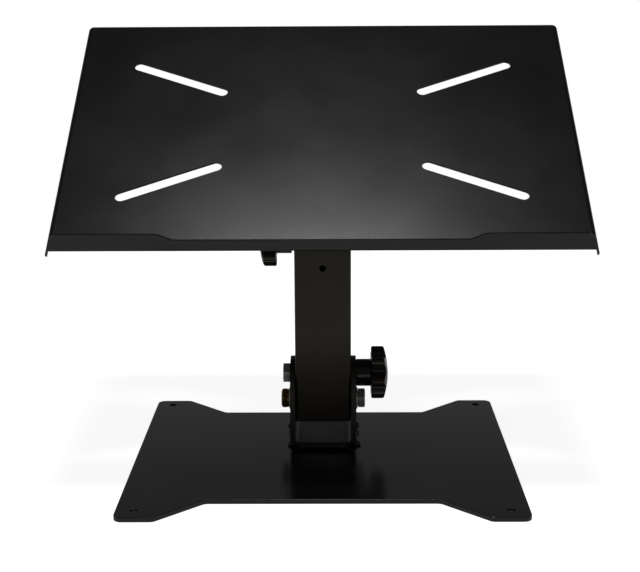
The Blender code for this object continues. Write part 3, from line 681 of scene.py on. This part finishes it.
def tray():
    """Flat sheet, its sides and rear turned down with a small inward return, its front turned up."""
    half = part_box("tray")[1].x
    before = -10 * MM
    pan = block("tray", (-half, 0, -FLANGE_DROP), (half, TRAY_DEPTH, 0), (
        (upright_at_back(TRAY_DEPTH), TRAY_CORNER, 10),
        (on_sides_and_back(0, TRAY_DEPTH), FLANGE_BEND, 10),
        (on_sides_and_back(-FLANGE_DROP, TRAY_DEPTH), FLANGE_EDGE, 5)))
    inner, back, lowest = half - TRAY_SHEET, TRAY_DEPTH - TRAY_SHEET, -2 * FLANGE_DROP
    hollow = block("hollow", (-inner, before, TRAY_SHEET - FLANGE_DROP), (inner, back, -TRAY_SHEET), (
        (upright_at_back(back), TRAY_CORNER - TRAY_SHEET, 10),
        (on_sides_and_back(-TRAY_SHEET, back), FLANGE_BEND - TRAY_SHEET, 10)))
    notch = block("notch", (-inner, before, lowest), (inner, RETURN_NOTCH, -FLANGE_DROP / 2))
    inner, back = inner - FLANGE_RETURN, back - FLANGE_RETURN
    under = block("under", (-inner, before, lowest), (inner, back, -FLANGE_DROP / 2), (
        (upright_at_back(back), TRAY_CORNER / 2, 8),))
    relief = LIP_HALF + TRAY_SHEET / 3
    trim = block("trim", (-relief, before, -2 * TRAY_SHEET), (relief, LIP_BEND, FLANGE_DROP))
    slots = []
    for u in (-1, 1):
        for v in (-1, 1):
            slot = prism("slot", round_slot(SLOT_SPAN, SLOT_RADIUS), 10 * TRAY_SHEET)
            slots.append(("DIFFERENCE", moved(slot, Matrix.Rotation(u * v * SLOT_ANGLE, 4, "Z"),
                                              at(u * SLOT_U, TRAY_DEPTH / 2 + v * SLOT_V, 0))))
    cuts = [("DIFFERENCE", cutter) for cutter in (hollow, notch, under, trim)]
    sheet = carved(pan, *cuts, ("UNION", lip()), *slots)
    show("tray", moved(softened(sheet, 0.35 * MM, 3), SHEET_FRAME))


def tray_bracket():
    """An inverted U under the tray. Its ears reach forward and down to the pivot."""
    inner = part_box("tray_bracket")[1].x - EAR_SHEET
    top = TRAY_CENTRE.z - TRAY_SHEET - 0.3 * MM
    section = channel(inner, EAR_SHEET, top + 2 * EAR_RADIUS, EAR_BEND)
    turned_over = at(0, 0, top) @ Matrix.Rotation(math.pi, 4, "Y") @ ALONG_Y
    folded = prism("tray_bracket", section, 2 * (abs(EAR_FRONT) + abs(EAR_BACK)), turned_over)
    knee = (EAR_BACK, top - EAR_BACK_DROP)
    lower = math.atan2(knee[1], knee[0]) - math.acos(EAR_RADIUS / math.hypot(*knee))
    upper = math.atan2(top, EAR_FRONT) + math.acos(EAR_RADIUS / math.hypot(EAR_FRONT, top))
    sweep = arc((0, 0), EAR_RADIUS, lower, upper - 2 * math.pi, 60)
    ear = rounded([(EAR_FRONT, top, 0), (EAR_BACK, top, 0), (*knee, 4 * MM)] + [(y, z, 0) for y, z in sweep])
    wide = 8 * inner
    over = math.radians(1)
    down = -math.pi / 2
    slot = arc_slot(CLAMP_REACH, BORE_RADIUS, down - (TILT_RANGE[1] + TRAY_TILT) - over,
                    down - (TILT_RANGE[0] + TRAY_TILT) + over)
    bracket = carved(folded, ("INTERSECT", prism("ear", ear, wide, ALONG_X)),
                     ("DIFFERENCE", rod("hole", BORE_RADIUS, -wide, wide)),
                     ("DIFFERENCE", prism("slot", slot, wide, ALONG_X)))
    show("tray_bracket", moved(softened(bracket, 0.35 * MM), PIVOT_FRAME))


def tray_welds():
    """A run along each side of the bracket's web, under the sheet."""
    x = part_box("tray_bracket")[1].x - 0.4 * MM
    z = TRAY_CENTRE.z - TRAY_SHEET - 0.9 * MM
    lumps = [(place, 1) for place in (8 * MM, 36 * MM, 66 * MM, 98 * MM)]
    for side, name in ((-1, "left"), (1, "right")):
        weld_bead("tray_weld_" + name, PIVOT_FRAME @ Vector((side * x, EAR_FRONT + WELD_INSET, z)),
                  PIVOT_FRAME @ Vector((side * x, EAR_BACK - WELD_INSET, z)), (side, 0, 0),
                  lumps, (1.5 * MM, 1.5 * MM), (3.0 * MM, 2.2 * MM), 51 + side)


# Fasteners, along X

def on_axis(low, high):
    """Puts a piece made round the X axis on the axis through a box."""
    return at(0, (low.y + high.y) / 2, (low.z + high.z) / 2)


def hexagon(limit):
    """The radius of a hexagon with slightly worn corners, cut to a circle of radius limit."""
    def reach(angle):
        flat = math.remainder(angle - HEX_TURN, math.pi / 3)
        return min(HEX_FLAT / math.cos(flat), HEX_CORNER, limit)
    return reach


def thread(along, radius, fade=1.0):
    """The radius round a right-hand thread at one distance along X; fade thins it out."""
    def reach(angle):
        phase = (along / THREAD_PITCH - angle / (2 * math.pi)) % 1
        return radius - THREAD_DEPTH * fade * min(1.0, 1.25 * abs(2 * phase - 1))
    return reach


def threaded(start, end, radius):
    """Rings of thread from start to end, thinning out over the first turn."""
    count = max(2, round(abs(end - start) / (THREAD_PITCH / 6)))
    rings = []
    for i in range(count + 1):
        along = start + (end - start) * i / count
        fade = min(1.0, abs(along - start) / THREAD_PITCH)
        rings.append(ring(along, thread(along, radius, fade), HEX_ANGLES))
    return rings


def bolt(node, head_side):
    """A hex bolt along X where its CAD node lies, its head at the end of X that head_side points to."""
    low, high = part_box(node)
    outer = high.x if head_side > 0 else low.x
    tip = low.x if head_side > 0 else high.x
    inward = -head_side
    face = outer + inward * HEAD_HEIGHT
    crown = HEX_FLAT - 0.5 * MM
    rings = [[(outer + inward * 0.25 * MM, 0, 0)], ring(outer + inward * 0.25 * MM, 4.6 * MM, HEX_ANGLES),
             ring(outer, 5.2 * MM, HEX_ANGLES), ring(outer, crown, HEX_ANGLES)]
    for i in range(1, 9):
        limit = crown + (HEX_FULL - crown) * i / 8
        rings.append(ring(outer + inward * (limit - crown) * HEX_CHAMFER, hexagon(limit), HEX_ANGLES))
    rings += [ring(face - inward * 0.9 * MM, hexagon(HEX_FULL), HEX_ANGLES),
              ring(face - inward * 0.5 * MM, hexagon(HEX_FULL - 0.2 * MM), HEX_ANGLES),
              ring(face - inward * 0.4 * MM, crown + 0.2 * MM, HEX_ANGLES),
              ring(face, crown + 0.1 * MM, HEX_ANGLES),
              ring(face, SHANK_RADIUS + 0.4 * MM, HEX_ANGLES),
              ring(face + inward * 0.4 * MM, SHANK_RADIUS, HEX_ANGLES)]
    rings += threaded(tip - inward * THREAD_LENGTH, tip - inward * 1.1 * MM, SHANK_RADIUS)
    rings += [ring(tip - inward * 0.2 * MM, SHANK_RADIUS - 0.9 * MM, HEX_ANGLES),
              ring(tip, SHANK_RADIUS - 1.2 * MM, HEX_ANGLES), [(tip, 0, 0)]]
    show(node, moved(loft(node, rings), on_axis(low, high)))


def nut(node, bearing_side):
    """A hex nut with a round collar on its bearing side and a threaded bore."""
    low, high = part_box(node)
    bearing = high.x if bearing_side > 0 else low.x
    outward = -bearing_side
    height = high.x - low.x
    collar = 1.6 * MM
    crown = HEX_FLAT - 0.9 * MM
    rings = [ring(bearing, 6 * MM, HEX_ANGLES), ring(bearing, HEX_FLAT - 0.3 * MM, HEX_ANGLES),
             ring(bearing + outward * 0.25 * MM, HEX_FLAT - 0.1 * MM, HEX_ANGLES),
             ring(bearing + outward * (collar - 0.2 * MM), HEX_FLAT - 0.2 * MM, HEX_ANGLES),
             ring(bearing + outward * collar, hexagon(HEX_FULL - 0.3 * MM), HEX_ANGLES),
             ring(bearing + outward * (collar + 0.4 * MM), hexagon(HEX_FULL), HEX_ANGLES)]
    for i in range(8):
        limit = HEX_FULL - (HEX_FULL - crown) * i / 7
        rings.append(ring(bearing + outward * (height - 0.5 * MM - (limit - crown) * HEX_CHAMFER),
                          hexagon(limit), HEX_ANGLES))
    rings += [ring(bearing + outward * (height - 0.1 * MM), crown - 0.4 * MM, HEX_ANGLES),
              ring(bearing + outward * height, crown - 0.8 * MM, HEX_ANGLES),
              ring(bearing + outward * height, BORE_RADIUS + 0.6 * MM, HEX_ANGLES)]
    rings += threaded(bearing + outward * (height - 0.5 * MM), bearing + outward * 0.5 * MM,
                      BORE_RADIUS + THREAD_DEPTH)
    show(node, moved(loft(node, rings, closed=True), on_axis(low, high)))


def washer(node, smooth_side):
    """A stamped washer: one face drawn over at its rim, the other with a sharp burr."""
    low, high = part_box(node)
    radius = (high.y - low.y) / 2
    angles = [2 * math.pi * i / 64 for i in range(64)]
    near, far = (low.x, high.x) if smooth_side > 0 else (high.x, low.x)
    inward = 1 if near < far else -1
    over = 0.5 * MM
    rings = [ring(near, BORE_RADIUS + 0.15 * MM, angles), ring(near, radius - 0.1 * MM, angles),
             ring(near + inward * 0.1 * MM, radius, angles), ring(far - inward * over, radius, angles)]
    rings += [ring(far - inward * over * (1 - math.sin(turn)), radius - over * (1 - math.cos(turn)), angles)
              for turn in (math.radians(30), math.radians(60), math.radians(90))]
    rings += [ring(far, BORE_RADIUS + 0.35 * MM, angles), ring(far - inward * 0.3 * MM, BORE_RADIUS, angles),
              ring(near + inward * 0.15 * MM, BORE_RADIUS, angles)]
    show(node, moved(loft(node, rings, closed=True), on_axis(low, high)))


# The end of X that each bolt's head is at
BOLT_HEADS = {"lower_pivot_bolt": 1, "upper_pivot_bolt": -1, "lower_clamp_bolt": -1, "upper_clamp_bolt": 1}


def fasteners():
    for node, head_side in BOLT_HEADS.items():
        bolt(node, head_side)
    for prefix in ("lower", "upper"):
        side = BOLT_HEADS[prefix + "_pivot_bolt"]
        washer(prefix + "_pivot_washer_head", side)
        washer(prefix + "_pivot_washer_nut", -side)
        nut(prefix + "_pivot_nut", side)


# Knobs

def star(first_lobe, inset=0.0, share=1.0):
    """The star's radius by angle: round lobes and tighter valleys, taken in by inset and then scaled."""
    def reach(angle):
        rise = (1 + math.cos(KNOB_LOBES * (angle - first_lobe))) / 2
        return share * (KNOB_MEAN - KNOB_LOBE + 2 * KNOB_LOBE * rise ** LOBE_FULLNESS - inset)
    return reach


def between(near, far, share):
    return lambda angle: near(angle) + (far(angle) - near(angle)) * share


def knob(prefix):
    """Star head and hub in one moulding, bored from the hub's end for the insert and the bolt's tip."""
    low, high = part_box(prefix + "_knob")
    side = 1 if prefix == "lower" else -1
    hub_end = low.x if side > 0 else high.x
    axis = LOWER_CLAMP if prefix == "lower" else UPPER_CLAMP
    length = high.x - low.x
    first = math.pi / 2 + LOWER_KNOB_TURN if prefix == "lower" else -math.pi / 2
    steps = 24 * KNOB_LOBES
    angles = [2 * math.pi * i / steps for i in range(steps)]
    rear, rim = HUB_LENGTH, HUB_LENGTH + KNOB_RIM
    dome = length - rim
    tip = KNOB_MEAN + KNOB_LOBE
    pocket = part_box(prefix + "_knob_insert")
    pocket_radius = (pocket[1].y - pocket[0].y) / 2 + 0.3 * MM
    pocket_depth = pocket[1].x - pocket[0].x + 0.3 * MM

    def circle(radius):
        return lambda angle: radius

    def domed(inset, share):
        """(radius by angle, distance along the axis by angle) of one contour of the face."""
        reach = star(first, inset, share)
        return reach, lambda angle: rim + dome * (1 - (reach(angle) / tip) ** 2)

    profile = [(pocket_depth + 2.3 * MM, None), (pocket_depth + 2.3 * MM, circle(BORE_RADIUS)),
               (pocket_depth, circle(BORE_RADIUS)), (pocket_depth, circle(pocket_radius)),
               (0.3 * MM, circle(pocket_radius)), (0, circle(pocket_radius + 0.3 * MM)),
               (0, circle(HUB_RADIUS - 0.7 * MM)), (0.2 * MM, circle(HUB_RADIUS - 0.2 * MM)),
               (0.7 * MM, circle(HUB_RADIUS))]
    fillet = 1.4 * MM
    for i in range(5):
        turn = math.pi / 2 * i / 4
        profile.append((rear - fillet * (1 - math.sin(turn)),
                        circle(HUB_RADIUS + fillet * (1 - math.cos(turn)))))
    flared = circle(HUB_RADIUS + fillet)
    outer = star(first, KNOB_EDGE)
    for share in (0.35, 0.7, 1.0):
        profile.append((rear, between(flared, outer, share)))
    for i in range(1, 6):
        turn = math.pi / 2 * i / 5
        profile.append((rear + KNOB_EDGE * (1 - math.cos(turn)),
                        star(first, KNOB_EDGE * (1 - math.sin(turn)))))
    rings = []
    for along, reach in profile:
        rings.append([(along, 0, 0)] if reach is None else ring(along, reach, angles))
    for i in range(6):
        turn = math.pi / 2 * i / 5
        reach, height = domed(KNOB_EDGE * (1 - math.cos(turn)), 1)
        drop = KNOB_EDGE * (1 - math.sin(turn))
        rings.append([(height(angle) - drop, reach(angle) * math.cos(angle), reach(angle) * math.sin(angle))
                      for angle in angles])
    for i in range(1, 12):
        reach, height = domed(KNOB_EDGE, 1 - i / 12)
        rings.append([(height(angle), reach(angle) * math.cos(angle), reach(angle) * math.sin(angle))
                      for angle in angles])
    rings.append([(length, 0, 0)])
    mesh = moved(loft(prefix + "_knob", rings), Matrix.Diagonal((side, 1, 1, 1)), at(hub_end, axis.y, axis.z))
    if side < 0:
        mesh.flip_normals()
    show(prefix + "_knob", mesh)


def insert(prefix):
    """A brass bush with a band of knurling each side of a groove, and a plain bore."""
    node = prefix + "_knob_insert"
    low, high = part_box(node)
    radius = (high.y - low.y) / 2
    angles = [2 * math.pi * i / 96 for i in range(96)]
    length = high.x - low.x

    def knurl(phase):
        return lambda angle: radius - 0.35 * MM * abs(math.sin(12 * angle + phase))

    rings = [ring(0, BORE_RADIUS + 0.5 * MM, angles), ring(0, radius - 0.5 * MM, angles)]
    for i in range(13):
        along = 0.5 * MM + (length - MM) * i / 12
        in_groove = i in (6, 7)
        rings.append(ring(along, radius - 0.9 * MM if in_groove else knurl(i * math.pi / 6), angles))
    rings += [ring(length, radius - 0.5 * MM, angles), ring(length, BORE_RADIUS + 0.5 * MM, angles),
              ring(length - 0.5 * MM, BORE_RADIUS, angles), ring(0.5 * MM, BORE_RADIUS, angles)]
    show(node, moved(loft(node, rings, closed=True), at(low.x, 0, 0), on_axis(low, high)))


# ---------------------------------------------------------------- stage

# The camera stands in front of the object and a little above the tray
CAMERA_PLACE = Vector((8.362, -1045.165, 415.639)) * MM
CAMERA_YAW = -0.01009
CAMERA_PITCH = 0.24243
CAMERA_ROLL = 0.0055
SENSOR_WIDTH = 36.0
FOCAL_IN_WIDTHS = 1.9406

# The studio as the object reflects it: (height of the direction, brightness) behind, and a colour in front
BACK_TONES = [(0.0, 0.36), (0.22, 0.30), (0.27, 0.23), (0.34, 0.14), (0.44, 0.08), (0.6, 0.03)]
FRONT_TONE = (0.07, 0.066, 0.060)

# The floor, and how much it glows to the camera and to everything
FLOOR_RADIUS = 2.6
FLOOR_WHOLE = 0.8
FLOOR_SEEN_GLOW = 0.72
FLOOR_GLOW = 0.17

SOFTBOX_PLACE = (-0.015, -0.146, 1.6)
SOFTBOX_AIM = (-0.015, -0.146, 0.0)


def camera():
    forward = Vector((math.sin(CAMERA_YAW) * math.cos(CAMERA_PITCH),
                      math.cos(CAMERA_YAW) * math.cos(CAMERA_PITCH), -math.sin(CAMERA_PITCH)))
    right = Vector((math.cos(CAMERA_YAW), -math.sin(CAMERA_YAW), 0))
    turn = Matrix.Rotation(CAMERA_ROLL, 3, forward)
    right = turn @ right
    up = right.cross(forward)
    data = bpy.data.cameras.new("camera")
    data.sensor_width = SENSOR_WIDTH
    data.lens = FOCAL_IN_WIDTHS * SENSOR_WIDTH
    data.clip_start = 0.05
    view = bpy.data.objects.new("camera", data)
    bpy.context.scene.collection.objects.link(view)
    view.matrix_world = Matrix.Translation(CAMERA_PLACE) @ Matrix((right, up, -forward)).transposed().to_4x4()
    bpy.context.scene.camera = view


def softbox(name, place, aim, width, depth, radiance):
    """A round-ended softbox; radiance is how bright its face is, with white as 1."""
    data = bpy.data.lights.new(name, "AREA")
    data.shape = "ELLIPSE"
    data.size = width
    data.size_y = depth
    data.energy = radiance * math.pi * (math.pi * width * depth / 4)
    light = bpy.data.objects.new(name, data)
    bpy.context.scene.collection.objects.link(light)
    light.location = place
    light.rotation_euler = (Vector(aim) - Vector(place)).to_track_quat("-Z", "Y").to_euler()


def world():
    """A white backdrop to look at; what the object reflects is a dim studio, lighter behind and low down."""
    setting = bpy.data.worlds.new("studio")
    bpy.context.scene.world = setting
    setting.use_nodes = True
    nodes, links = setting.node_tree.nodes, setting.node_tree.links
    place = nodes.new("ShaderNodeTexCoord")
    split = nodes.new("ShaderNodeSeparateXYZ")
    links.new(place.outputs["Generated"], split.inputs["Vector"])
    up = colours(nodes, links, split.outputs["Z"], *((level, (tone,) * 3) for level, tone in BACK_TONES))
    behind = nodes.new("ShaderNodeMapRange")
    behind.interpolation_type = "SMOOTHSTEP"
    behind.inputs["From Min"].default_value = -0.5
    behind.inputs["From Max"].default_value = 0.5
    links.new(split.outputs["Y"], behind.inputs["Value"])
    studio = mixed(nodes, links, behind.outputs["Result"], FRONT_TONE, up)
    path = nodes.new("ShaderNodeLightPath")
    seen = mixed(nodes, links, path.outputs["Is Camera Ray"], studio, (1.0, 1.0, 1.0))
    links.new(seen, nodes["Background"].inputs["Color"])


def floor():
    """A pale round sheet that fades out towards its rim."""
    shape = bmesh.new()
    bmesh.ops.create_circle(shape, cap_ends=True, segments=128, radius=FLOOR_RADIUS)
    bmesh.ops.translate(shape, verts=shape.verts, vec=(0, 0, -0.2 * MM))
    sheet = bpy.data.objects.new("floor", to_mesh("floor", shape))
    bpy.context.scene.collection.objects.link(sheet)
    material, nodes, links, shader = new_material("pale_floor")
    shader.inputs["Base Color"].default_value = (0.86, 0.86, 0.86, 1)
    shader.inputs["Roughness"].default_value = 0.9
    shader.inputs["Specular IOR Level"].default_value = 0.1
    shader.inputs["Emission Color"].default_value = (1, 1, 1, 1)
    path = nodes.new("ShaderNodeLightPath")
    glow = nodes.new("ShaderNodeMath")
    glow.operation = "MULTIPLY_ADD"
    glow.inputs[1].default_value = FLOOR_SEEN_GLOW
    glow.inputs[2].default_value = FLOOR_GLOW
    links.new(path.outputs["Is Camera Ray"], glow.inputs[0])
    links.new(glow.outputs["Value"], shader.inputs["Emission Strength"])
    place = nodes.new("ShaderNodeTexCoord")
    length = nodes.new("ShaderNodeVectorMath")
    length.operation = "LENGTH"
    fade = nodes.new("ShaderNodeMapRange")
    fade.interpolation_type = "SMOOTHSTEP"
    fade.inputs["From Min"].default_value = FLOOR_WHOLE
    fade.inputs["From Max"].default_value = FLOOR_RADIUS - 0.1
    fade.inputs["To Min"].default_value = 1.0
    fade.inputs["To Max"].default_value = 0.0
    links.new(place.outputs["Object"], length.inputs[0])
    links.new(length.outputs["Value"], fade.inputs["Value"])
    links.new(fade.outputs["Result"], shader.inputs["Alpha"])
    sheet.data.materials.append(material)


def corners(box):
    return [[float(value) for value in corner] for corner in box]


base_plate()
base_bracket()
base_welds()
mast()
tray()
tray_bracket()
tray_welds()
fasteners()
for prefix in ("lower", "upper"):
    knob(prefix)
    insert(prefix)
camera()
floor()
world()
softbox("overhead_softbox", SOFTBOX_PLACE, SOFTBOX_AIM, 0.50, 0.20, 32)
bpy.context.scene.view_settings.view_transform = "Standard"
